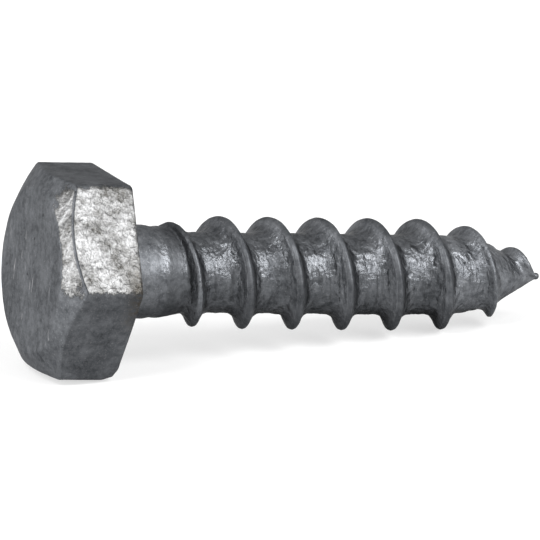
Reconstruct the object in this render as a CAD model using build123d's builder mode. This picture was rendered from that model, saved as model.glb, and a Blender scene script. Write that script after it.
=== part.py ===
from build123d import *
from math import atan2, ceil, cos, degrees, radians, sin, sqrt, tan
import os

# Hexagon head lag screw (coach screw) with a coarse wood thread, forged and rolled as one piece.
# The screw is drawn along +X: the bearing face of the head lies at station 0, the head reaches
# back from it, and the shank and thread run forward to the point. A station is a distance
# along +X from the bearing face. At the end the screw is laid down as it rests on a table.
# All lengths are millimetres and all angles are degrees.

# Head
across_flats = 16.6
head_height = 6.6
end_face_diameter = 13.9
end_chamfer_angle = 32.0
end_rim_bevel = 0.4
corner_rounding = 0.7
bearing_edge_bevel = 0.3

# Plain shank under the head
shank_diameter = 7.9
shank_length = 4.3
shoulder_length = 2.8

# Thread
screw_length = 39.4
thread_diameter = 9.5
core_diameter = 6.7
thread_pitch = 4.5
flank_angle = 28.0
crest_rounding = 0.3
root_rounding = 1.1
thread_clocking = -102.0
full_thread_from = 10.2
run_in_radius = 18.5
run_out_length = 11.2
crest_radius_at_tip = 0.9

# Gimlet point
taper_length = 3.5
point_length = 4.9
point_base_diameter = 5.5
nib_diameter = 0.5
nib_length = 0.5
thread_stops_before_tip = 0.6
thread_end_fade = 1.4

# How the thread ridge is drawn
sections_per_turn = 12
root_facets = 2
ridge_depth_in_core = 0.4
ridge_sill = 0.02
least_ridge_height = 0.1

point_start = screw_length - point_length
taper_start = point_start - taper_length
nib_start = screw_length - nib_length
full_height = (thread_diameter - core_diameter) / 2
run_out_start = screw_length - run_out_length
run_out_fall = thread_diameter / 2 - crest_radius_at_tip
run_out_radius = (run_out_length**2 + run_out_fall**2) / (2 * run_out_fall)

core_corners = [
    (0, core_diameter / 2),
    (taper_start, core_diameter / 2),
    (point_start, point_base_diameter / 2),
    (nib_start, nib_diameter / 2),
    (screw_length - nib_diameter / 4, nib_diameter / 2),
]


def core_radius(station):
    """Radius of the threaded core: straight lines between the corners of its profile."""
    for (x0, r0), (x1, r1) in zip(core_corners, core_corners[1:]):
        if station <= x1:
            return r0 + (r1 - r0) * (station - x0) / (x1 - x0)
    return core_corners[-1][1]


def crest_radius(station):
    """Radius of the thread's crest: it rises on an arc, stays full and falls on an arc to the tip."""
    if station < full_thread_from:
        beyond, radius = full_thread_from - station, run_in_radius
    else:
        beyond, radius = max(station - run_out_start, 0), run_out_radius
    return thread_diameter / 2 - radius + sqrt(radius**2 - beyond**2)


def ridge_height(station):
    """Height of the thread ridge over the core, which fades to nothing at its end on the point."""
    height = crest_radius(station) - core_radius(station)
    fade = min((thread_end - station) / thread_end_fade, 1)
    return max(height * sqrt(max(fade, 0)), least_ridge_height)


def ridge_corners(height, depth, bluntness):
    """Corners of half a ridge section, from its foot at a depth inside the core up to its crest.

    Each corner is (distance from the ridge's middle, height over the core). The wide round root
    is drawn as root_facets chords of its arc. The crest is the flat that its arc rounds off.
    """
    flank = radians(flank_angle)
    share = height / full_height
    crest = crest_rounding * share * (1 + bluntness * (1 - share))
    root = root_rounding * share
    foot = (height * sin(flank) + (crest + root) * (1 - sin(flank))) / cos(flank)
    bends = [radians(90 - flank_angle) * step / root_facets for step in range(1, root_facets + 1)]
    return [
        (foot, -depth),
        (foot, ridge_sill),
        *[(foot - root * sin(bend), root * (1 - cos(bend))) for bend in bends],
        (crest * (1 - sin(flank)) / cos(flank), height),
    ]


def ridge_outline(station):
    """Closed outline of the ridge section that stands at a station, as (station, radius) corners."""
    height = ridge_height(station)
    depth = min(ridge_depth_in_core, core_radius(station) / 2)
    bluntness = 1 if station < full_thread_from else 0
    half = ridge_corners(height, depth, bluntness)
    whole = [(-x, y) for x, y in half] + [(x, y) for x, y in reversed(half)]
    return [(station + x, core_radius(station + x) + y) for x, y in whole]


# ---- head: a hexagonal prism with rounded edges, turned to a chamfer at its end ----
chamfer_reach = across_flats
chamfer_rise = (chamfer_reach - end_face_diameter / 2) * tan(radians(end_chamfer_angle))

with BuildPart() as head:
    with BuildSketch(Plane.YZ):
        RegularPolygon(radius=across_flats / 2, side_count=6, major_radius=False)
    extrude(amount=-head_height)
    fillet(head.edges().filter_by(Axis.X), corner_rounding)
    chamfer(head.faces().sort_by(Axis.X)[-1].edges(), bearing_edge_bevel)
    with BuildSketch(Plane.XZ) as chamfer_profile:
        with BuildLine():
            Polyline(
                (-head_height, 0),
                (-head_height, end_face_diameter / 2),
                (chamfer_rise - head_height, chamfer_reach),
                (chamfer_rise, chamfer_reach),
                (chamfer_rise, 0),
                close=True,
            )
        make_face()
        rim = chamfer_profile.vertices().sort_by(Axis.X)[:2].sort_by(Axis.Y)[-1]
        chamfer(rim, end_rim_bevel)
    revolve(axis=Axis.X, mode=Mode.INTERSECT)

# ---- shank, core and point: one turned profile ----
with BuildPart() as shank:
    with BuildSketch(Plane.XZ):
        with BuildLine():
            Polyline(
                (-head_height / 2, 0),
                (-head_height / 2, shank_diameter / 2),
                (shank_length, shank_diameter / 2),
                (shank_length + shoulder_length, core_diameter / 2),
                *core_corners[1:],
                (screw_length, nib_diameter / 4),
                (screw_length, 0),
                close=True,
            )
        make_face()
    revolve(axis=Axis.X)

# ---- thread: a ridge lofted through sections along the helix, turn by turn ----
thread_start = shank_length - thread_pitch / 4
thread_end = screw_length - thread_stops_before_tip
section_count = ceil((thread_end - thread_start) / thread_pitch * sections_per_turn)
stations = [
    thread_start + (thread_end - thread_start) * step / section_count
    for step in range(section_count + 1)
]


def ridge_turn(own_stations):
    """One turn of the thread ridge, a solid lofted through its sections at the given stations."""
    with BuildPart() as ridge:
        for station in own_stations:
            turned = radians(360 * station / thread_pitch + thread_clocking)
            across = Vector(0, -cos(turned), -sin(turned))
            with BuildSketch(Plane(origin=(0, 0, 0), x_dir=(1, 0, 0), z_dir=across)):
                with BuildLine():
                    Polyline(*ridge_outline(station), close=True)
                make_face()
        loft()
    return ridge.part


ridge_turns = [
    ridge_turn(stations[first : first + sections_per_turn + 1])
    for first in range(0, section_count, sections_per_turn)
]

# ---- the whole screw: head, shank and thread made one ----
with BuildPart() as drawn_screw:
    add(head.part)
    add(shank.part)
    for turn in ridge_turns:
        add(turn)

# ---- the screw lies on one flat of its head, tipped until a crest of its thread touches ----
low_stations = [
    thread_pitch * (turn + 0.5 - thread_clocking / 360)
    for turn in range(int(screw_length / thread_pitch))
]
nose_down = min(
    degrees(atan2(across_flats / 2 - crest_radius(station), station))
    for station in low_stations
    if thread_start < station < thread_end
)
tipped_screw = drawn_screw.part.rotate(Axis.Y, nose_down)
rest_box = tipped_screw.bounding_box()

with BuildPart() as lag_screw:
    with Locations((-rest_box.center().X, -rest_box.center().Y, -rest_box.min.Z)):
        add(tipped_screw)

lag_screw.part.label = "lag_screw"
os.makedirs("parts", exist_ok=True)
export_step(lag_screw.part, "parts/lag_screw.step")
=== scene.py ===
"""Galvanised hexagon head lag screw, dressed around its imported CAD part, in a plain studio."""

import itertools

import bmesh
import bpy
import numpy as np
from mathutils import Matrix, Vector


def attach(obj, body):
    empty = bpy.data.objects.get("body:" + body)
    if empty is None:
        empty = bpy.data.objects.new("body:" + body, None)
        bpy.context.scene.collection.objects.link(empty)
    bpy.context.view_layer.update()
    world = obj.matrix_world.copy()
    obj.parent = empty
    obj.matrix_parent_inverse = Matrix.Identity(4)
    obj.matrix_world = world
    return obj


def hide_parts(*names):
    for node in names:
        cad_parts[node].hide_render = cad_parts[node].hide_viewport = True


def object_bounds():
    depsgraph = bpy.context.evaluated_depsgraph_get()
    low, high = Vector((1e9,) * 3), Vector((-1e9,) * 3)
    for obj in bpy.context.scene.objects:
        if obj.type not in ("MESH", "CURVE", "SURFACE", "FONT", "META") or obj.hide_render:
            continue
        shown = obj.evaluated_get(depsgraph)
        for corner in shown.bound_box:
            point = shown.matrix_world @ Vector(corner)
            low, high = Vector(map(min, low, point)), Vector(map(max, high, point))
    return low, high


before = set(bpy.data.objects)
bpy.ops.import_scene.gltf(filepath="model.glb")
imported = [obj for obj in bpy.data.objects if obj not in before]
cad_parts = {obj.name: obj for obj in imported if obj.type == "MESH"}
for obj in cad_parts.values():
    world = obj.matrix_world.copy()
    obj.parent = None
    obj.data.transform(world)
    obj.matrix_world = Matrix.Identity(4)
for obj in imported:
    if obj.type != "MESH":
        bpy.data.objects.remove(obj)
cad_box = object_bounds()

bl_info = {
    "name": "Lag Screw",
    "version": (1, 0, 0),
    "blender": (4, 5, 0),
    "location": "View3D > Sidebar > Lag Screw",
    "description": "Builds a galvanised hexagon head lag screw and a plain studio around it",
    "category": "Add Mesh",
}

# The screw is drawn along +X with the bearing face of its head at station 0, a station being a
# distance along its axis. A turn is an angle about that axis: 0 is up, and it grows through the
# side that faces -Y, then down, then the side that faces +Y.

# A point this close to a flat face still counts as lying on it, in metres.
FACE_LEEWAY = 0.0001

# Points closer together than this are one, in metres.
MERGE_DISTANCE = 1e-7

# Number of points along the arc of a rounding.
ARC_POINTS = 6


def length(name, description, millimetres):
    """Property for one of the screw's sizes, kept in metres and given here in millimetres."""
    return bpy.props.FloatProperty(
        name=name,
        description=description,
        default=millimetres / 1000,
        min=0,
        subtype="DISTANCE",
        unit="LENGTH",
        precision=5,
    )


def turn_angle(name, description, degrees):
    """Property for an angle, kept in radians and given here in degrees."""
    return bpy.props.FloatProperty(
        name=name, description=description, default=np.radians(degrees), subtype="ANGLE"
    )


def level(name, description, value):
    """Property for a plain number that isn't below 0."""
    return bpy.props.FloatProperty(name=name, description=description, default=value, min=0)


class ScrewSizes(bpy.types.PropertyGroup):
    """Sizes of the screw: the CAD part's, but for a few forms that are finer here.

    The end rim and the bearing edge are rounded instead of bevelled, the chamfer's edge and
    the shank's start are rounded too, the nib is thicker, and the thread has a lead-out and
    stops closer to the tip.
    """

    across_flats: length("Across flats", "Width of the hexagon from flat to flat", 16.6)
    head_height: length("Head height", "Height of the head above its bearing face", 6.6)
    end_face_diameter: length("End face", "Diameter of the flat disc on the head's end", 13.9)
    end_chamfer_angle: turn_angle("End chamfer", "Slope of the chamfer from the end face", 32)
    end_rim_rounding: length("End rim", "Radius of the rim between end face and chamfer", 0.8)
    corner_rounding: length("Corners", "Radius of the hexagon's six long edges", 0.7)
    chamfer_rounding: length("Chamfer edge", "Radius where the chamfer meets the flats", 0.3)
    bearing_rounding: length("Bearing edge", "Radius around the bearing face", 0.35)
    shank_fillet: length("Shank fillet", "Radius where the shank leaves the head", 0.3)
    shank_diameter: length("Shank", "Diameter of the plain shank", 7.9)
    shank_length: length("Shank length", "Length of the plain shank", 4.3)
    shoulder_length: length("Shoulder", "Length over which the shank falls to the core", 2.8)
    screw_length: length("Length", "Length under the head", 39.4)
    thread_diameter: length("Thread", "Outer diameter of the thread", 9.5)
    core_diameter: length("Core", "Diameter of the core between the turns", 6.7)
    thread_pitch: length("Pitch", "Distance from one turn to the next", 4.5)
    flank_angle: turn_angle("Flank", "Slope of the thread's flanks from the radius", 28)
    crest_rounding: length("Crest", "Radius of the thread's crest", 0.3)
    root_rounding: length("Root", "Radius where a flank runs into the core", 1.1)
    thread_clocking: turn_angle("Clocking", "Turn of the thread's crest at station 0", -102)
    full_thread_from: length("Full from", "Station at which the thread is full", 10.2)
    run_in_radius: length("Run-in", "Radius of the arc along which the crest rises", 18.5)
    run_out_length: length("Run-out", "Last stretch, on which the crest falls on an arc", 11.2)
    crest_radius_at_tip: length("Crest at tip", "Crest's radius where the arc ends", 0.9)
    taper_length: length("Taper", "Length over which the core narrows before the point", 3.5)
    point_length: length("Point", "Length of the point's cone with its nib", 4.9)
    point_base_diameter: length("Point base", "Diameter of the core where the cone begins", 5.5)
    nib_diameter: length("Nib", "Diameter of the nib on the tip", 0.65)
    nib_length: length("Nib length", "Length of the nib on the tip", 0.5)
    lead_out_length: length("Lead-out", "Last stretch, on which the thread runs to the nib", 1.6)
    lead_out_pitch: length("Lead-out pitch", "Pitch of the thread on its lead-out", 8)
    thread_stops_before_tip: length("Thread end", "Distance from the thread's end to the tip", 0.3)
    thread_end_fade: length("Thread fade", "Length over which the thread's end sinks away", 1.4)


class ZincFinish(bpy.types.PropertyGroup):
    """How uneven and worn the zinc coating is, where it is bright with new zinc and painted sheen,
    and where it is dirty.
    """

    coating_relief: length("Relief", "Depth of the coating's small lumps", 0.035)
    swell_size: length("Swells", "Size of the coating's broad swells", 2.2)
    lump_size: length("Lumps", "Size of the coating's lumps", 0.7)
    run_size: length("Runs", "Size of the runs of zinc in the thread's roots", 1.1)
    foil_size: length("Crumples", "Size of the crumples in the bright zinc", 0.9)
    neck_depth: length("Neck", "Depth of the neck between shank and thread", 0.12)
    worn_depth: length("Worn corner", "Depth to which one corner of the head is worn", 0.3)
    worn_reach: length("Worn reach", "Distance over which that corner is worn", 1.4)
    # The bright flat's pale colour is partly a painted reflection of the lamps.
    bright_turn: turn_angle("Bright flat", "Turn of the flat that shows bright zinc", 60)
    stain_turn: turn_angle("Stain", "Turn at which the bearing face's edge is stained", 92)


# ---- shape of the screw ----


def core_radius(sizes, station):
    """Radius of the core: straight lines between the corners of its profile, shank included."""
    point_start = sizes.screw_length - sizes.point_length
    corners = (
        (sizes.shank_length, sizes.shank_diameter / 2),
        (sizes.shank_length + sizes.shoulder_length, sizes.core_diameter / 2),
        (point_start - sizes.taper_length, sizes.core_diameter / 2),
        (point_start, sizes.point_base_diameter / 2),
        (sizes.screw_length - sizes.nib_length, sizes.nib_diameter / 2),
    )
    return np.interp(station, *np.array(corners).T)


def crest_radius(sizes, station):
    """Radius of the thread's crest: it rises on an arc, stays full and falls on an arc.

    An arc that falls by f over a length l has the radius (l^2 + f^2) / 2f.
    """
    full = sizes.thread_diameter / 2
    fall = full - sizes.crest_radius_at_tip
    run_out_radius = (sizes.run_out_length**2 + fall**2) / (2 * fall)
    before = np.maximum(sizes.full_thread_from - station, 0)
    beyond = np.maximum(station - (sizes.screw_length - sizes.run_out_length), 0)
    radius = np.where(before > 0, sizes.run_in_radius, run_out_radius)
    return full - radius + np.sqrt(radius**2 - (before + beyond) ** 2)


def thread_turn(sizes, station):
    """Turn of the ridge at a station, and its pitch there.

    It is one turn for each pitch. On the lead-out the pitch is longer, so the ridge's end
    runs forward to the nib like a fin.
    """
    beyond = np.maximum(station - (sizes.screw_length - sizes.lead_out_length), 0)
    turns = (station - beyond) / sizes.thread_pitch + beyond / sizes.lead_out_pitch
    pitch = np.where(beyond > 0, sizes.lead_out_pitch, sizes.thread_pitch)
    return 2 * np.pi * turns + sizes.thread_clocking, pitch


def ridge_profile(sizes, height, offset, bluntness):
    """Height of a ridge over the core at an axial distance from its middle.

    From the middle outwards it is the crest's arc, a straight flank, the root's arc and nothing.
    The arcs shrink with the ridge, and touch the flank, the crest's top and the core. With
    bluntness the crest's arc shrinks less. An arc keeps at least a small radius.
    """
    slope = sizes.flank_angle
    full_height = (sizes.thread_diameter - sizes.core_diameter) / 2
    smallest_share = 0.02
    share = np.clip(height / full_height, smallest_share, None)
    crest = sizes.crest_rounding * share * (1 + bluntness * np.clip(1 - share, 0, 1))
    root = sizes.root_rounding * share
    foot = (height * np.sin(slope) + (crest + root) * (1 - np.sin(slope))) / np.cos(slope)
    flank_top = crest * np.cos(slope)
    flank_bottom = foot - root * np.cos(slope)
    out = np.abs(offset)
    on_crest = height - crest + np.sqrt(np.clip(crest**2 - out**2, 0, None))
    on_flank = height - crest * (1 - np.sin(slope)) - (out - flank_top) / np.tan(slope)
    in_root = root - np.sqrt(np.clip(root**2 - (foot - out) ** 2, 0, None))
    stretches = [out < flank_top, out < flank_bottom, out < foot]
    return np.select(stretches, [on_crest, on_flank, in_root])


def ridge_offset(sizes, station, turn):
    """Axial distance from the nearest turn of the ridge, positive towards the tip."""
    ridge_turn, pitch = thread_turn(sizes, station)
    return pitch * (((ridge_turn - turn) / (2 * np.pi) + 0.5) % 1 - 0.5)


def threaded_radius(sizes, station, turn):
    """Radius of the shank and thread at a station and turn.

    It is the core's radius and the height of the nearest turn of the ridge, which is a
    right-hand helix. The ridge grows out of the shank, with a blunt crest until it is full,
    and sinks into the cone of the point.
    """
    offset = ridge_offset(sizes, station, turn)
    middle = station - offset
    ridge_end = sizes.screw_length - sizes.thread_stops_before_tip
    threaded_core = np.minimum(core_radius(sizes, middle), sizes.core_diameter / 2)
    fade = np.clip((ridge_end - middle) / sizes.thread_end_fade, 0, 1)
    height = np.clip(crest_radius(sizes, middle) - threaded_core, 0, None) * np.sqrt(fade)
    bluntness = middle < sizes.full_thread_from
    ridge = ridge_profile(sizes, height, offset, bluntness)
    own_core = np.minimum(core_radius(sizes, station), sizes.core_diameter / 2)
    return np.maximum(core_radius(sizes, station), own_core + ridge)


def hexagon_radius(sizes, turn):
    """Distance of the hexagon's outline from the axis, with one flat up and round corners.

    A flat is a straight line, at half the width over the flats from the axis. A corner is an
    arc that touches both flats.
    """
    half_width = sizes.across_flats / 2
    from_flat = (turn + np.pi / 6) % (np.pi / 3) - np.pi / 6
    from_corner = np.pi / 6 - np.abs(from_flat)
    arc_centre = (half_width - sizes.corner_rounding) / np.cos(np.pi / 6)
    flat_ends = np.arctan((half_width - sizes.corner_rounding) * np.tan(np.pi / 6) / half_width)
    aside = arc_centre * np.sin(from_corner)
    on_arc = arc_centre * np.cos(from_corner)
    on_arc = on_arc + np.sqrt(np.clip(sizes.corner_rounding**2 - aside**2, 0, None))
    return np.where(np.abs(from_flat) < flat_ends, half_width / np.cos(from_flat), on_arc)


def rounded_line(corners, radii, rows):
    """Rows of points along a line through corners, each corner rounded by an arc.

    Corners is a list of (station, radius) arrays over the turn. An arc's ends lie at
    radius x tan(half the bend) from its corner, and it is drawn as a parabola between them.
    Rows gives the number of points on each straight run.
    """
    line = [corners[0][None]]
    steps = np.linspace(0, 1, ARC_POINTS)[:, None, None]
    for before, corner, after, radius in zip(corners, corners[1:], corners[2:], radii):
        back = before - corner
        ahead = after - corner
        back_length = np.linalg.norm(back, axis=1, keepdims=True)
        ahead_length = np.linalg.norm(ahead, axis=1, keepdims=True)
        cosine = (back * ahead).sum(1, keepdims=True) / (back_length * ahead_length)
        reach = radius * np.sqrt((1 + cosine) / (1 - cosine))
        start = corner + back / back_length * reach
        end = corner + ahead / ahead_length * reach
        line.append(start * (1 - steps) ** 2 + 2 * corner * steps * (1 - steps) + end * steps**2)
    line.append(corners[-1][None])
    filled = [line[0]]
    for previous, current, count in zip(line, line[1:], rows):
        share = np.linspace(0, 1, count + 2)[1:-1, None, None]
        filled += [previous[-1] * (1 - share) + current[0] * share, current]
    return np.concatenate(filled)


def head_rows(sizes, turns):
    """Stations and radii of the head and the first of the shank, a row for each point.

    At each turn the line goes out over the end face, down the chamfer, along the flat, and in
    over the bearing face to the shank. The rows say how many points lie on each of these.
    """
    outline = hexagon_radius(sizes, turns)
    rim = sizes.end_face_diameter / 2
    chamfer_end = (outline - rim) * np.tan(sizes.end_chamfer_angle) - sizes.head_height
    shank = sizes.shank_diameter / 2
    corners = [
        (-sizes.head_height, 0),
        (-sizes.head_height, rim),
        (chamfer_end, outline),
        (0, outline),
        (0, shank),
        (sizes.shank_fillet * 2, shank),
    ]
    corners = [np.stack(np.broadcast_arrays(x, r, turns)[:2], axis=1) for x, r in corners]
    radii = [
        sizes.end_rim_rounding,
        sizes.chamfer_rounding,
        sizes.bearing_rounding,
        sizes.shank_fillet,
    ]
    return rounded_line(corners, radii, rows=[18, 9, 34, 9, 1])


def thread_rows(sizes, turns, rows_per_pitch):
    """Stations and radii of the shank, thread and cone, on rows that follow the helix.

    A row climbs one pitch in each turn, so the row a pitch further on takes it up. Within a
    pitch the rows are evenly spaced along the full ridge's outline. Rows that would start
    before the shank or run past the nib are held at its ring.
    """
    pitch = sizes.thread_pitch
    first = sizes.shank_fillet * 2
    last = sizes.screw_length - sizes.nib_length
    fine_steps = 2000
    across = np.linspace(0, pitch, fine_steps + 1)
    full_height = (sizes.thread_diameter - sizes.core_diameter) / 2
    outline = ridge_profile(sizes, np.array(full_height), across - pitch / 2, np.array(0))
    run = np.concatenate([[0], np.cumsum(np.hypot(np.diff(across), np.diff(outline)))])
    spaced = np.interp(np.linspace(0, run[-1], rows_per_pitch + 1)[:-1], run, across)
    whole_turns = int(np.ceil((last - first) / pitch)) + 2
    row_stations = (np.arange(whole_turns)[:, None] * pitch + spaced).ravel()
    start = -sizes.thread_clocking / (2 * np.pi) * pitch - pitch / 2
    start -= pitch * np.ceil((start - first) / pitch + 1)
    stations = start + row_stations[:, None] + pitch * turns / (2 * np.pi)
    stations = np.clip(stations, first, last)
    return np.stack([stations, threaded_radius(sizes, stations, turns)], axis=2)


def nib_rows(sizes, turns):
    """Stations and radii of the nib: a short cylinder and a half ball that ends on the axis."""
    radius = sizes.nib_diameter / 2
    bend = np.linspace(0, np.pi / 2, ARC_POINTS)
    stations = sizes.screw_length - radius + radius * np.sin(bend)
    stations = np.concatenate([[sizes.screw_length - sizes.nib_length], stations])
    radii = np.concatenate([[radius], radius * np.cos(bend)])
    rows = np.stack([stations, radii], axis=1)[:, None, :]
    return np.broadcast_to(rows, (len(stations), len(turns), 2))


def grid_faces(rows, columns, first_vertex, seam_climb):
    """Four-sided faces of a grid that closes on itself round the axis.

    Across the seam a face joins the row seam_climb further on: none for plain rings, and one
    pitch of rows for a helix.
    """
    row, column = np.meshgrid(np.arange(rows - 1), np.arange(columns), indexing="ij")
    climb = (column + 1) // columns * seam_climb
    here = row * columns + column
    beside = (row + climb) * columns + (column + 1) % columns
    faces = np.stack([here, beside, beside + columns, here + columns], axis=-1).reshape(-1, 4)
    faces = faces[faces.max(axis=1) < rows * columns]
    return faces + first_vertex


def screw_surface(sizes, columns=240, rows_per_pitch=32):
    """Vertices and faces of the whole screw as it is drawn, along +X.

    Three grids meet in rings: the head, the threaded shank and the nib. Their columns are
    closer together near the hexagon's corners, by a sine over each sixth of a turn.
    """
    even = 2 * np.pi * np.arange(columns) / columns
    crowding = 0.5
    turns = even + crowding * np.sin(6 * even) / 6
    grids = [
        (head_rows(sizes, turns), 0),
        (thread_rows(sizes, turns, rows_per_pitch), rows_per_pitch),
        (nib_rows(sizes, turns), 0),
    ]
    vertices = []
    faces = []
    count = 0
    for rows, climb in grids:
        station, radius = rows[..., 0], rows[..., 1]
        around = np.broadcast_to(turns, station.shape)
        points = np.stack([station, -radius * np.sin(around), radius * np.cos(around)], axis=-1)
        vertices.append(points.reshape(-1, 3))
        faces.append(grid_faces(len(rows), columns, count, climb))
        count += station.size
    return np.concatenate(vertices), np.concatenate(faces)


def rest_place(sizes, points):
    """Matrix that lays the drawn screw down as it rests.

    It tips the screw about Y until the lowest crest of its thread is level with the edge of
    its bottom flat, and moves it so that its box stands on the same place as the CAD part's.
    """
    turns_along = np.arange(int(sizes.screw_length / sizes.thread_pitch))
    low = sizes.thread_pitch * (turns_along + 0.5 - sizes.thread_clocking / (2 * np.pi))
    thread_end = sizes.screw_length - sizes.thread_stops_before_tip
    low = low[(low > sizes.shank_length) & (low < thread_end)]
    tip = np.arctan2(sizes.across_flats / 2 - crest_radius(sizes, low), low).min()
    turned = Matrix.Rotation(tip, 4, "Y")
    tipped = points @ np.array(turned.to_3x3()).T
    low_corner, high_corner = np.array(cad_box)
    shift = (low_corner + high_corner) / 2 - (tipped.min(0) + tipped.max(0)) / 2
    shift[2] = low_corner[2] - tipped[:, 2].min()
    return Matrix.Translation(Vector(shift)) @ turned


# ---- the zinc coating: its lumps, where it is bright, and its painted sheen and shade ----

# Its zones begin or end softly between two values. Each of these is given in metres, as the
# distance, height or station that its comment says.
ROOT_ENDS = (0.0003, 0.0011)  # over the core
CREST_BEGINS = (0.001, 0.0013)  # over the core
FLANK_BEGINS = (0.0002, 0.0006)  # over the core
ROOT_ENDS_BEFORE_TIP = (0.001, 0.003)  # before the tip
ROOT_GRIME_FADES = 0.002  # before the core's taper, and ends there
NIB_BEGINS = (0.0005, 0.0009)  # before the tip
SHANK_GLOSS_BEGINS = (0.001, 0.003)  # station
SHANK_GLOSS_FALLS = 0.0035  # station, and ends at the shank's end
FIRST_TURN_BEGINS = (-0.0004, 0.0004)  # behind the shank's end
FIRST_TURN_ENDS = (0.002, 0.003)  # behind the shank's end
NECK_MIDDLE = 0.0003  # before the shank's end
NECK_REACH = 0.0008  # from the neck's middle, both ways
BRIGHT_SIDES = (-0.0004, 0.0007)  # inside the bright flat's long edges
BRIGHT_END = (-0.0005, 0.0006)  # before the bearing face
FLAT_SKIN = 0.0004  # under the flats
CHAMFER_BEGINS = 0.00025  # outside the end face's rim
SIDE_BEGINS = (-0.0002, 0.0002)  # behind the chamfer's edge
# Painted shade: a thin dark line just behind the chamfer's edge, in metres behind that edge.
EDGE_SHADE_LINE = (-0.00002, 0.00008)  # behind the chamfer's edge
STAIN_ENDS = (0.0003, 0.0018)  # from the bearing face

# These are cosines of the angle from a turn, so 1 lies straight at it.
CHAMFER_FACING = (0.77, 0.93)
EDGE_FACING = (0.8, 0.88)
STAIN_FACING = (0.9, 1)
UNDERSIDE_FACING = (0.1, 0.9)

# Sizes of the coarse and the fine noise that make the bright zinc's border ragged, in metres.
RAGGED_SIZES = (0.0009, 0.0004)


def soft_step(value, start, end):
    """0 up to the start, 1 from the end, and a smooth rise between them."""
    share = np.clip((value - start) / (end - start), 0, 1)
    return share * share * (3 - 2 * share)


def value_noise(points, size, seed):
    """Smooth noise from -1 to 1, between random values at the corners of cubes of this size."""
    cubes = 64
    lattice = np.random.default_rng(seed).uniform(-1, 1, (cubes, cubes, cubes))
    cells = np.floor(points / size).astype(int)
    share = points / size - cells
    share = share * share * (3 - 2 * share)
    total = 0
    for corner in itertools.product((0, 1), repeat=3):
        x, y, z = ((cells + corner) % cubes).T
        total = total + np.where(corner, share, 1 - share).prod(axis=1) * lattice[x, y, z]
    return total


def surface_places(points):
    """Station, radius and turn of points of the drawn screw."""
    radius = np.hypot(points[:, 1], points[:, 2])
    return points[:, 0], radius, np.arctan2(-points[:, 1], points[:, 2])


def from_chamfer(sizes, station, turn):
    """Axial distance behind the edge between the head's chamfer and its flats."""
    outline = hexagon_radius(sizes, turn)
    rise = (outline - sizes.end_face_diameter / 2) * np.tan(sizes.end_chamfer_angle)
    return station + sizes.head_height - rise


def threaded_share(sizes, station):
    """0 on the head and the shank, rising to 1 where the shank has fallen to the core."""
    return soft_step(station, sizes.shank_length, sizes.shank_length + sizes.shoulder_length)


def root_share(sizes, station, radius):
    """1 in the thread's roots and 0 on the head, the shank and the crests."""
    over_core = radius - core_radius(sizes, station)
    in_root = 1 - soft_step(over_core, *ROOT_ENDS)
    before_tip = soft_step(sizes.screw_length - station, *ROOT_ENDS_BEFORE_TIP)
    return threaded_share(sizes, station) * before_tip * in_root


def crest_share(sizes, station, radius):
    """1 on the thread's crests and 0 in its roots and on the head."""
    over_core = radius - core_radius(sizes, station)
    return soft_step(over_core, *CREST_BEGINS) * (station > FACE_LEEWAY)


def neck_share(sizes, station):
    """1 in the shallow neck where the plain shank meets the thread, and 0 elsewhere."""
    middle = sizes.shank_length - NECK_MIDDLE
    falling = 1 - soft_step(station, middle, middle + NECK_REACH)
    return soft_step(station, middle - NECK_REACH, middle) * falling


def corner_wear(sizes, finish, points):
    """Depth of the wear on one lower corner of the head, at the edge of the bearing face."""
    corner_radius = sizes.across_flats / 2 / np.cos(np.pi / 6)
    corner = corner_radius * np.array([0, -np.sin(np.pi / 6), -np.cos(np.pi / 6)])
    away = np.linalg.norm(points - corner, axis=1)
    return finish.worn_depth * (1 - soft_step(away, 0, finish.worn_reach))


def coating_depth(sizes, finish, points):
    """Depth of the surface under the drawn one, where the zinc has run thin or is worn.

    All over there are broad swells and small lumps. In the roots the lumps are deeper and
    stretched round the screw, as molten zinc runs along the thread. The bright flat is
    crumpled like foil. Only in the roots does the zinc rise over the drawn surface.
    """
    station, radius, turn = surface_places(points)
    root = root_share(sizes, station, radius)
    swells = value_noise(points, finish.swell_size, 1)
    lumps = value_noise(points, finish.lump_size, 2)
    pits = value_noise(points, finish.lump_size / 2, 3)
    foil = 1 - 2 * np.abs(value_noise(points, finish.foil_size, 8))
    foil = foil + 0.5 * value_noise(points, finish.foil_size / 2, 9)
    on_flats = from_chamfer(sizes, station, turn) > 0
    foil = foil * bright_zinc_and_sheen(sizes, finish, points) * on_flats
    stretch = 3
    across, up = radius * np.sin(turn), radius * np.cos(turn)
    around = np.stack([station * stretch, across, up], axis=1)
    runs = value_noise(around, finish.run_size, 4)
    crumple = np.abs(value_noise(around, finish.run_size / 2, 5))
    height = 0.5 * swells + 0.3 * lumps + 0.2 * pits
    height = height + root * (1.1 * runs + 1.2 * lumps + 0.4 * pits - 1.2 * crumple + 0.6)
    depth = finish.coating_relief * (1 - root - height - 0.8 * foil)
    depth = depth + corner_wear(sizes, finish, points)
    depth = depth + finish.neck_depth * neck_share(sizes, station)
    # The roots' share is 0 outside them, which bars a rise, and in them it is far over any rise.
    return np.maximum(depth, -root)


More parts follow.
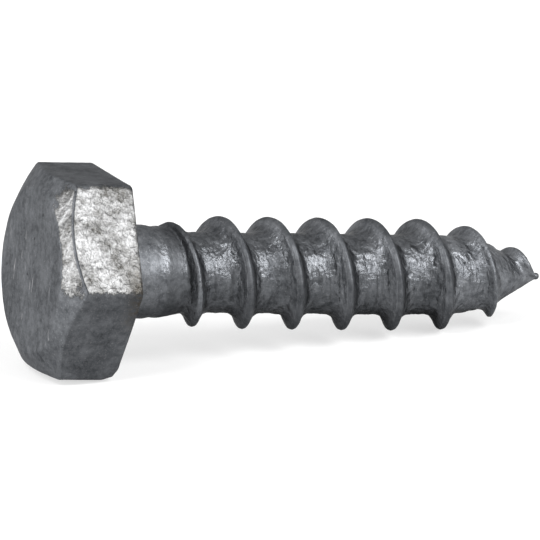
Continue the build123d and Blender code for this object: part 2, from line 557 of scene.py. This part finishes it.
def bright_zinc_and_sheen(sizes, finish, points):
    """How much bright zinc and painted sheen shows, from 0 on dull patina to 1.

    It shows on the flat that lies at the bright turn and on the chamfer in front of it. Its pale
    colour is partly new zinc and partly a painted reflection of the lamps that this flat and this
    part of the chamfer face. It fades towards the flat's two long edges and the bearing face, and
    to both sides of the chamfer, where its edge is ragged.
    """
    station, radius, turn = surface_places(points)
    coarse, fine = RAGGED_SIZES
    ragged = value_noise(points, coarse, 6) + 0.6 * value_noise(points, fine, 7)
    across = radius * np.sin(turn - finish.bright_turn)
    facing = np.cos(turn - finish.bright_turn)
    half_flat = sizes.across_flats / 2 * np.tan(np.pi / 6)
    from_edge = from_chamfer(sizes, station, turn)
    outermost = radius > sizes.across_flats / 2 - FLAT_SKIN
    on_side = (facing > 0) * outermost * (from_edge > FACE_LEEWAY)
    flat = on_side * soft_step(half_flat - np.abs(across), *BRIGHT_SIDES)
    flat = flat * soft_step(-station, *BRIGHT_END) * (station < FACE_LEEWAY)
    rim = sizes.end_face_diameter / 2
    chamfer = soft_step(radius, rim, rim + CHAMFER_BEGINS) * (from_edge < -FACE_LEEWAY)
    chamfer = chamfer * soft_step(facing + 0.05 * ragged, *CHAMFER_FACING)
    return np.clip(flat + chamfer, 0, 1)


def dull_zinc_and_shade(sizes, finish, points):
    """How much the patina is darkened, partly as painted shade, from 0 to 1.

    Each place has its own share, and the largest one counts where they meet. The dark line
    behind the chamfer's edge and the thread's flanks that face the head are painted shade, and
    the lower side of the shank and the thread is darkened further as painted shade.
    """
    station, radius, turn = surface_places(points)
    from_edge = from_chamfer(sizes, station, turn)
    facing = np.cos(turn - finish.bright_turn)
    over_core = radius - core_radius(sizes, station)
    on_head = station < FACE_LEEWAY
    side = on_head * soft_step(from_edge, *SIDE_BEGINS)
    # Painted shade: a thin dark line just behind the chamfer's edge, across the bright flat.
    edge_start, edge_end = EDGE_SHADE_LINE
    chamfer_edge_shade = on_head * (from_edge > edge_start) * (from_edge < edge_end)
    chamfer_edge_shade = chamfer_edge_shade * soft_step(facing, *EDGE_FACING)
    taper_start = sizes.screw_length - sizes.point_length - sizes.taper_length
    before_taper = 1 - soft_step(station, taper_start - ROOT_GRIME_FADES, taper_start)
    root = root_share(sizes, station, radius) * before_taper
    crest = crest_share(sizes, station, radius)
    # Painted shade: the thread's flanks that face the head are a little darker.
    head_side_flank_shade = soft_step(over_core, *FLANK_BEGINS) * (1 - on_head) * (1 - crest)
    head_side_flank_shade = head_side_flank_shade * (ridge_offset(sizes, station, turn) < 0)
    behind_shank = station - sizes.shank_length
    shank = (station > 0) * (behind_shank < 0)
    first_turn = soft_step(behind_shank, *FIRST_TURN_BEGINS)
    first_turn = first_turn * (1 - soft_step(behind_shank, *FIRST_TURN_ENDS))
    nib = 1 - soft_step(sizes.screw_length - station, *NIB_BEGINS)
    shares = (
        (0.33, on_head),
        (0.5, side),
        (0.7, chamfer_edge_shade),
        (0.36, root),
        (0.44, crest),
        (0.1, head_side_flank_shade),
        (0.2, shank),
        (0.5, first_turn),
        (0.35, nib),
    )
    darkest = np.max([share * place for share, place in shares], axis=0)
    # Painted shade: the lower side of the shank and the thread is darkened.
    underside_shade = soft_step(-np.cos(turn), *UNDERSIDE_FACING) * (station > FACE_LEEWAY)
    return np.minimum(darkest + 0.25 * underside_shade, 1)


def glossy_zinc(sizes, station, radius):
    """How glossy the patina is: most in the roots and the neck, less on crests and shank."""
    before_neck = 1 - soft_step(station, SHANK_GLOSS_FALLS, sizes.shank_length)
    middle_of_shank = soft_step(station, *SHANK_GLOSS_BEGINS) * before_neck
    thread = threaded_share(sizes, station) * (1 - 0.7 * crest_share(sizes, station, radius))
    root = root_share(sizes, station, radius)
    neck = neck_share(sizes, station)
    return np.max([root, neck, 0.6 * thread, 0.35 * middle_of_shank], axis=0)


def brown_stain(finish, station, turn):
    """How much brown dirt lies on the bearing face's rim and the shank's start, at the side."""
    beside = soft_step(np.cos(turn - finish.stain_turn), *STAIN_FACING)
    return beside * (1 - soft_step(np.abs(station), *STAIN_ENDS))


def make_screw(sizes, finish):
    """Mesh object of the whole screw, lying at rest, with its seams and poles closed."""
    drawn, faces = screw_surface(sizes)
    mesh = bpy.data.meshes.new("lag_screw_surface")
    mesh.from_pydata(drawn, [], faces)
    sculpt = bmesh.new()
    sculpt.from_mesh(mesh)
    bmesh.ops.remove_doubles(sculpt, verts=sculpt.verts, dist=MERGE_DISTANCE)
    bmesh.ops.recalc_face_normals(sculpt, faces=sculpt.faces)
    sculpt.to_mesh(mesh)
    sculpt.free()
    mesh.shade_smooth()
    points = np.empty(len(mesh.vertices) * 3)
    normals = np.empty_like(points)
    mesh.vertices.foreach_get("co", points)
    mesh.vertex_normals.foreach_get("vector", normals)
    points, normals = points.reshape(-1, 3), normals.reshape(-1, 3)
    station, radius, turn = surface_places(points)
    zones = {
        "bright_zinc_and_sheen": bright_zinc_and_sheen(sizes, finish, points),
        "dull_zinc_and_shade": dull_zinc_and_shade(sizes, finish, points),
        "gloss": glossy_zinc(sizes, station, radius),
        "brown_stain": brown_stain(finish, station, turn),
        "end_face": (station < FACE_LEEWAY - sizes.head_height).astype(float),
    }
    for name, values in zones.items():
        mesh.attributes.new(name, "FLOAT", "POINT").data.foreach_set("value", values)
    points = points - normals * coating_depth(sizes, finish, points)[:, None]
    mesh.vertices.foreach_set("co", points.ravel())
    mesh.transform(rest_place(sizes, drawn))
    screw = bpy.data.objects.new("lag_screw_body", mesh)
    bpy.context.scene.collection.objects.link(screw)
    return screw


# ---- materials ----

DARK_PATINA = (0.058, 0.062, 0.068, 1)
PALE_PATINA = (0.2, 0.208, 0.222, 1)
PALE_FLECK = (0.4, 0.4, 0.41, 1)
# Black for dark patina and dirt, and for painted shade.
BLACK_GRIME_AND_SHADE = (0.01, 0.011, 0.012, 1)
DARK_CREASE = (0.05, 0.048, 0.044, 1)
# Pale zinc, partly standing for a painted reflection of the lamps.
PALE_ZINC_AND_SHEEN = (0.295, 0.297, 0.299, 1)
DARK_FRINGE = (0.035, 0.033, 0.029, 1)
BROWN_DIRT = (0.035, 0.028, 0.018, 1)
WHITE = (1, 1, 1, 1)


def add_node(tree, kind, inputs=None, **settings):
    """Node of a kind, with its settings, and its inputs set to values or linked to outputs."""
    node = tree.nodes.new(kind)
    for name, value in settings.items():
        setattr(node, name, value)
    for name, value in (inputs or {}).items():
        socket = node.inputs[name]
        if isinstance(value, bpy.types.NodeSocket):
            tree.links.new(value, socket)
        else:
            socket.default_value = value
    return node


def noise(tree, place, size, detail=3, fineness=0.5):
    """Noise around 0.5 with features of a size in metres, and finer ones by its fineness."""
    inputs = {"Vector": place, "Scale": 1 / size, "Detail": detail, "Roughness": fineness}
    return add_node(tree, "ShaderNodeTexNoise", inputs).outputs["Fac"]


def spread(tree, value, low, high, to_low=0.0, to_high=1.0):
    """Value from low to high, spread out from to_low to to_high and held at both."""
    inputs = {"Value": value, "From Min": low, "From Max": high}
    inputs.update({"To Min": to_low, "To Max": to_high})
    return add_node(tree, "ShaderNodeMapRange", inputs).outputs["Result"]


def combine(tree, operation, total, *values):
    """Sum, product or other arithmetic of values, from left to right."""
    for value in values:
        node = add_node(tree, "ShaderNodeMath", {0: total, 1: value}, operation=operation)
        total = node.outputs[0]
    return total


def mix_colours(tree, share, first, second):
    """Colour between two, by the share of the second."""
    inputs = {0: share, 6: first, 7: second}
    return add_node(tree, "ShaderNodeMix", inputs, data_type="RGBA").outputs[2]


def zone(tree, name):
    """Value that the screw's mesh holds under this name at each point, from 0 to 1."""
    return add_node(tree, "ShaderNodeAttribute", attribute_name=name).outputs["Fac"]


def drawn_out(tree, place, share):
    """Place whose height counts by a share only, which draws a pattern on it out upright."""
    inputs = {"Vector": place, "Scale": (1, 1, share)}
    return add_node(tree, "ShaderNodeMapping", inputs).outputs[0]


def zinc_patterns(tree):
    """The coating's noises by name, from the broad clouds to the fine grain."""
    place = add_node(tree, "ShaderNodeTexCoord").outputs["Object"]
    return {
        "clouds": noise(tree, place, 0.0022),
        "crumple": noise(tree, place, 0.0009, 5),
        "tatters": noise(tree, place, 0.0009, 5, 0.8),
        "pits": noise(tree, place, 0.0006, 1),
        "specks": noise(tree, place, 0.0005, 5, 0.7),
        "glints": noise(tree, place, 0.0005, 6, 0.8),
        "creases": noise(tree, place, 0.00045),
        "streaks": noise(tree, drawn_out(tree, place, 0.12), 0.00035),
        "scratches": noise(tree, drawn_out(tree, place, 0.06), 0.0003, 1),
        "grain": noise(tree, place, 0.00014, 2),
    }


def patina_colour(tree, patterns, gloss):
    """Dull grey with clouds, specks and streaks, pale flecks, scratches on the end, and darkening
    that is partly patina and dirt and partly painted shade.
    """
    clouds = spread(tree, patterns["clouds"], 0.35, 0.65, 0, 0.45)
    specks = spread(tree, patterns["specks"], 0.37, 0.63, 0, 0.5)
    streaks = spread(tree, patterns["streaks"], 0.38, 0.62, 0, 0.1)
    mottle = combine(tree, "ADD", clouds, specks, streaks)
    patina = mix_colours(tree, mottle, DARK_PATINA, PALE_PATINA)
    scratches = spread(tree, patterns["scratches"], 0.72, 0.76)
    scratches = combine(tree, "MULTIPLY", scratches, zone(tree, "end_face"))
    flecks = spread(tree, patterns["grain"], 0.6, 0.75, 0, 0.4)
    flecks = combine(tree, "MAXIMUM", flecks, scratches)
    patina = mix_colours(tree, flecks, patina, PALE_FLECK)
    soot = spread(tree, patterns["streaks"], 0.5, 0.62, 0, 0.25)
    soot = combine(tree, "MULTIPLY", gloss, soot)
    pits = spread(tree, patterns["pits"], 0.75, 0.8, 0, 0.8)
    # The darkening here carries painted shade along with the patina and dirt.
    grime_and_shade = combine(tree, "ADD", zone(tree, "dull_zinc_and_shade"), soot)
    grime_and_shade = combine(tree, "MAXIMUM", grime_and_shade, pits)
    return mix_colours(tree, grime_and_shade, patina, BLACK_GRIME_AND_SHADE)


def pale_zinc_and_sheen_colour(tree, patterns, ragged):
    """Bright zinc with dark creases, partly a painted reflection, and a dark fringe along its
    ragged edge.
    """
    glints = spread(tree, patterns["glints"], 0.4, 0.6, 0.15, 0.7)
    clouds = spread(tree, patterns["clouds"], 0.37, 0.6, -0.2, 0.4)
    tone = combine(tree, "ADD", glints, clouds)
    zinc = mix_colours(tree, tone, DARK_CREASE, PALE_ZINC_AND_SHEEN)
    fringe = spread(tree, ragged, 0.5, 1, 0.7, 0)
    fringe = combine(tree, "MULTIPLY", fringe, spread(tree, patterns["glints"], 0.4, 0.6))
    return mix_colours(tree, fringe, zinc, DARK_FRINGE)


def zinc_relief(tree, patterns, gloss, bright):
    """Height of the finest relief: specks and grain all over, and creases where it is bright.

    Glossy places have creases too, and upright lines.
    """
    specks = combine(tree, "MULTIPLY", patterns["specks"], 0.7)
    grain = combine(tree, "MULTIPLY", patterns["grain"], 0.3)
    fine_creases = combine(tree, "MULTIPLY", patterns["creases"], 0.8)
    creases = combine(tree, "ADD", patterns["crumple"], fine_creases)
    on_bright = combine(tree, "MULTIPLY", bright, 4.5)
    on_glossy = combine(tree, "MULTIPLY", gloss, 2.8)
    foil = combine(tree, "MULTIPLY", creases, combine(tree, "ADD", on_bright, on_glossy))
    lines = combine(tree, "MULTIPLY", patterns["streaks"], gloss, 2.4)
    return combine(tree, "ADD", specks, grain, foil, lines)


def zinc_material():
    """Galvanised zinc: dull grey patina with painted shade in places, bright zinc that is partly a
    painted reflection, with a ragged edge, and brown dirt.
    """
    material = bpy.data.materials.new("galvanised_zinc")
    material.use_nodes = True
    tree = material.node_tree
    shader = tree.nodes["Principled BSDF"]
    patterns = zinc_patterns(tree)
    gloss, bright = zone(tree, "gloss"), zone(tree, "bright_zinc_and_sheen")

    tatters = spread(tree, patterns["tatters"], 0.3, 0.7, -0.6, 0.6)
    ragged = combine(tree, "ADD", bright, tatters)
    in_zone = spread(tree, bright, 0, 0.4)
    bright = combine(tree, "MULTIPLY", spread(tree, ragged, 0.4, 0.6), in_zone)

    patina = patina_colour(tree, patterns, gloss)
    # Painted sheen: the pale colour on one flat and the chamfer in front of it partly paints the
    # lamps' reflection.
    colour = mix_colours(tree, bright, patina, pale_zinc_and_sheen_colour(tree, patterns, ragged))
    dirt = spread(tree, patterns["glints"], 0.4, 0.6, 0, 0.9)
    dirt = combine(tree, "MULTIPLY", zone(tree, "brown_stain"), dirt)
    tree.links.new(mix_colours(tree, dirt, colour, BROWN_DIRT), shader.inputs["Base Color"])

    patina_shine = combine(tree, "MULTIPLY", gloss, spread(tree, patterns["clouds"], 0.3, 0.5))
    bright_shine = combine(tree, "MULTIPLY", bright, 0.6)
    shine = combine(tree, "MAXIMUM", patina_shine, bright_shine)
    tree.links.new(spread(tree, shine, 0, 1, 0.55, 0.3), shader.inputs["Roughness"])
    shader.inputs["Metallic"].default_value = 0.9
    shader.inputs["Specular Tint"].default_value = (0.5, 0.5, 0.5, 1)

    relief = zinc_relief(tree, patterns, gloss, bright)
    bump = {"Height": relief, "Distance": 0.00006, "Strength": 0.6}
    bump = add_node(tree, "ShaderNodeBump", bump).outputs["Normal"]
    tree.links.new(bump, shader.inputs["Normal"])
    return material


class LAGSCREW_OT_screw(bpy.types.Operator):
    """Build the screw as one closed surface and give it its zinc coating"""

    bl_idname = "lagscrew.screw"
    bl_label = "Build Screw"

    def execute(self, context):
        scene = context.scene
        screw = make_screw(scene.lag_screw_sizes, scene.lag_screw_finish)
        screw.data.materials.append(zinc_material())
        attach(screw, "root")
        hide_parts("lag_screw")
        return {"FINISHED"}


# ---- the studio ----

# Each lamp's name, place, width and height, in metres and in the order that hang_lamp takes.
LAMPS = (
    ("key", (0.376, -0.74, 0.55), 0.5, 1),
    ("side", (-0.6, -0.42, 0.68), 0.35, 0.5),
    ("fill", (-0.96, 0.2, 0.15), 0.5, 0.8),
)

# The floor's width and the greatest distance that the camera sees, in metres, and the width of
# the camera's sensor, in millimetres.
FLOOR_WIDTH = 4
VIEW_DEPTH = 10
SENSOR_WIDTH = 36


class StudioSetup(bpy.types.PropertyGroup):
    """Where the camera stands, how strong the lamps are and how the floor looks."""

    view_yaw: turn_angle("View yaw", "Turn of the head's end towards the camera", 22.125)
    view_rise: turn_angle("View rise", "Height of the camera over the level of the screw", 12.223)
    view_roll: turn_angle("View roll", "Fall of the screw's axis to the right", 0.665)
    view_distance: length("Distance", "Distance of the camera from the screw", 900)
    view_height: length("View height", "Height of the frame at the screw", 44.884)
    bearing_left: length("Bearing left", "Bearing face's place left of the middle", 13.766)
    bearing_under: length("Bearing under", "Bearing face's place under the middle", 0.095)
    world_strength: level("World", "Strength of the even light all round", 0.45)
    paper_lightness: level("Paper", "Lightness of the floor for the light on the screw", 0.3)
    paper_glow: level("Glow", "Strength of the glow that the camera sees in the floor", 1.05)
    glow_share: level("Glow share", "Share of that glow in what the camera sees", 0.6)
    key_energy: level("Key", "Power of the lamp over the camera's side, in watts", 11)
    side_energy: level("Side", "Power of the lamp over the head, in watts", 6)
    fill_energy: level("Fill", "Power of the large lamp at the head's side, in watts", 8)


def camera_place(sizes, studio):
    """Matrix of the camera: set out from the drawn screw, then laid down with it.

    Its axes are worked out from the yaw, the rise and the roll. The middle of the bearing face
    stands left of the middle of the frame and a little under it.
    """
    yaw, rise, roll = studio.view_yaw, studio.view_rise, studio.view_roll
    along = np.array([1, 0, 0])
    towards = np.array([0, -np.cos(rise), np.sin(rise)])
    up = np.array([0, np.sin(rise), np.cos(rise)])
    level_right = np.cos(yaw) * along + np.sin(yaw) * towards
    right = np.cos(roll) * level_right + np.sin(roll) * up
    over = -np.sin(roll) * level_right + np.cos(roll) * up
    back = -np.sin(yaw) * along + np.cos(yaw) * towards
    place = studio.view_distance * back
    place = place + studio.bearing_left * right + studio.bearing_under * over
    drawn = Matrix.Identity(4)
    for column, axis in enumerate((right, over, back, place)):
        for row in range(3):
            drawn[row][column] = axis[row]
    points, _ = screw_surface(sizes)
    return rest_place(sizes, points) @ drawn


def white_seen(tree):
    """1 for camera, mirror and glass rays, which see the white backdrop, and 0 for the rest."""
    rays = add_node(tree, "ShaderNodeLightPath").outputs
    seen = (rays["Is Camera Ray"], rays["Is Glossy Ray"], rays["Is Transmission Ray"])
    return combine(tree, "MAXIMUM", *seen)


def paper_material(studio):
    """White paper that shows the shadow of what lies on it.

    The camera sees it partly glow, which makes the shadow pale, and the light it throws back
    on the screw is that of a darker floor.
    """
    material = bpy.data.materials.new("white_paper")
    material.use_nodes = True
    tree = material.node_tree
    darker = (studio.paper_lightness,) * 3 + (1,)
    paper = mix_colours(tree, white_seen(tree), darker, WHITE)
    matt = add_node(tree, "ShaderNodeBsdfDiffuse", {"Color": paper}).outputs[0]
    glow = {"Color": WHITE, "Strength": studio.paper_glow}
    glow = add_node(tree, "ShaderNodeEmission", glow).outputs[0]
    camera_seen = add_node(tree, "ShaderNodeLightPath").outputs["Is Camera Ray"]
    share = combine(tree, "MULTIPLY", camera_seen, studio.glow_share)
    both = add_node(tree, "ShaderNodeMixShader", {0: share, 1: matt, 2: glow}).outputs[0]
    tree.links.new(both, tree.nodes["Material Output"].inputs["Surface"])
    return material


def white_world(strength):
    """World that is seen white and lights the screw evenly at its own strength."""
    world = bpy.data.worlds.new("studio")
    world.use_nodes = True
    tree = world.node_tree
    background = tree.nodes["Background"]
    background.inputs["Color"].default_value = WHITE
    seen_strength = spread(tree, white_seen(tree), 0, 1, strength, 1)
    tree.links.new(seen_strength, background.inputs["Strength"])
    return world


def hang_lamp(name, place, width, height, energy):
    """Soft oval lamp at a place, turned to the screw."""
    lamp = bpy.data.lights.new(name, "AREA")
    lamp.shape = "ELLIPSE"
    lamp.size = width
    lamp.size_y = height
    lamp.energy = energy
    hung = bpy.data.objects.new(name, lamp)
    bpy.context.scene.collection.objects.link(hung)
    hung.location = place
    hung.rotation_euler = (-Vector(place)).to_track_quat("-Z", "Y").to_euler()


class LAGSCREW_OT_studio(bpy.types.Operator):
    """Lay the floor, hang the lamps and set up the camera"""

    bl_idname = "lagscrew.studio"
    bl_label = "Build Studio"

    def execute(self, context):
        scene = context.scene
        sizes, studio = scene.lag_screw_sizes, scene.lag_screw_studio
        bpy.ops.mesh.primitive_plane_add(size=FLOOR_WIDTH)
        floor = context.object
        floor.name = "floor"
        floor.data.materials.append(paper_material(studio))
        camera = bpy.data.cameras.new("camera")
        camera.sensor_width = SENSOR_WIDTH
        camera.lens = camera.sensor_width * studio.view_distance / studio.view_height
        camera.clip_end = VIEW_DEPTH
        stand = bpy.data.objects.new("camera", camera)
        scene.collection.objects.link(stand)
        stand.matrix_world = camera_place(sizes, studio)
        scene.camera = stand
        scene.world = white_world(studio.world_strength)
        energies = (studio.key_energy, studio.side_energy, studio.fill_energy)
        for lamp, energy in zip(LAMPS, energies):
            hang_lamp(*lamp, energy)
        scene.view_settings.view_transform = "Standard"
        return {"FINISHED"}


class LAGSCREW_PT_panel(bpy.types.Panel):
    """Sizes of the screw and the buttons that build it"""

    bl_idname = "LAGSCREW_PT_panel"
    bl_label = "Lag Screw"
    bl_space_type = "VIEW_3D"
    bl_region_type = "UI"
    bl_category = "Lag Screw"

    def draw(self, context):
        scene = context.scene
        for group in (scene.lag_screw_sizes, scene.lag_screw_finish, scene.lag_screw_studio):
            column = self.layout.column(align=True)
            for name in group.bl_rna.properties.keys():
                if name not in ("rna_type", "name"):
                    column.prop(group, name)
        self.layout.operator(LAGSCREW_OT_screw.bl_idname)
        self.layout.operator(LAGSCREW_OT_studio.bl_idname)


CLASSES = (
    ScrewSizes,
    ZincFinish,
    StudioSetup,
    LAGSCREW_OT_screw,
    LAGSCREW_OT_studio,
    LAGSCREW_PT_panel,
)


def register():
    for cls in CLASSES:
        bpy.utils.register_class(cls)
    bpy.types.Scene.lag_screw_sizes = bpy.props.PointerProperty(type=ScrewSizes)
    bpy.types.Scene.lag_screw_finish = bpy.props.PointerProperty(type=ZincFinish)
    bpy.types.Scene.lag_screw_studio = bpy.props.PointerProperty(type=StudioSetup)


def unregister():
    del bpy.types.Scene.lag_screw_studio
    del bpy.types.Scene.lag_screw_finish
    del bpy.types.Scene.lag_screw_sizes
    for cls in reversed(CLASSES):
        bpy.utils.unregister_class(cls)


def main():
    """Build the screw and the studio."""
    register()
    bpy.ops.lagscrew.screw()
    bpy.ops.lagscrew.studio()


if __name__ == "__main__":
    main()
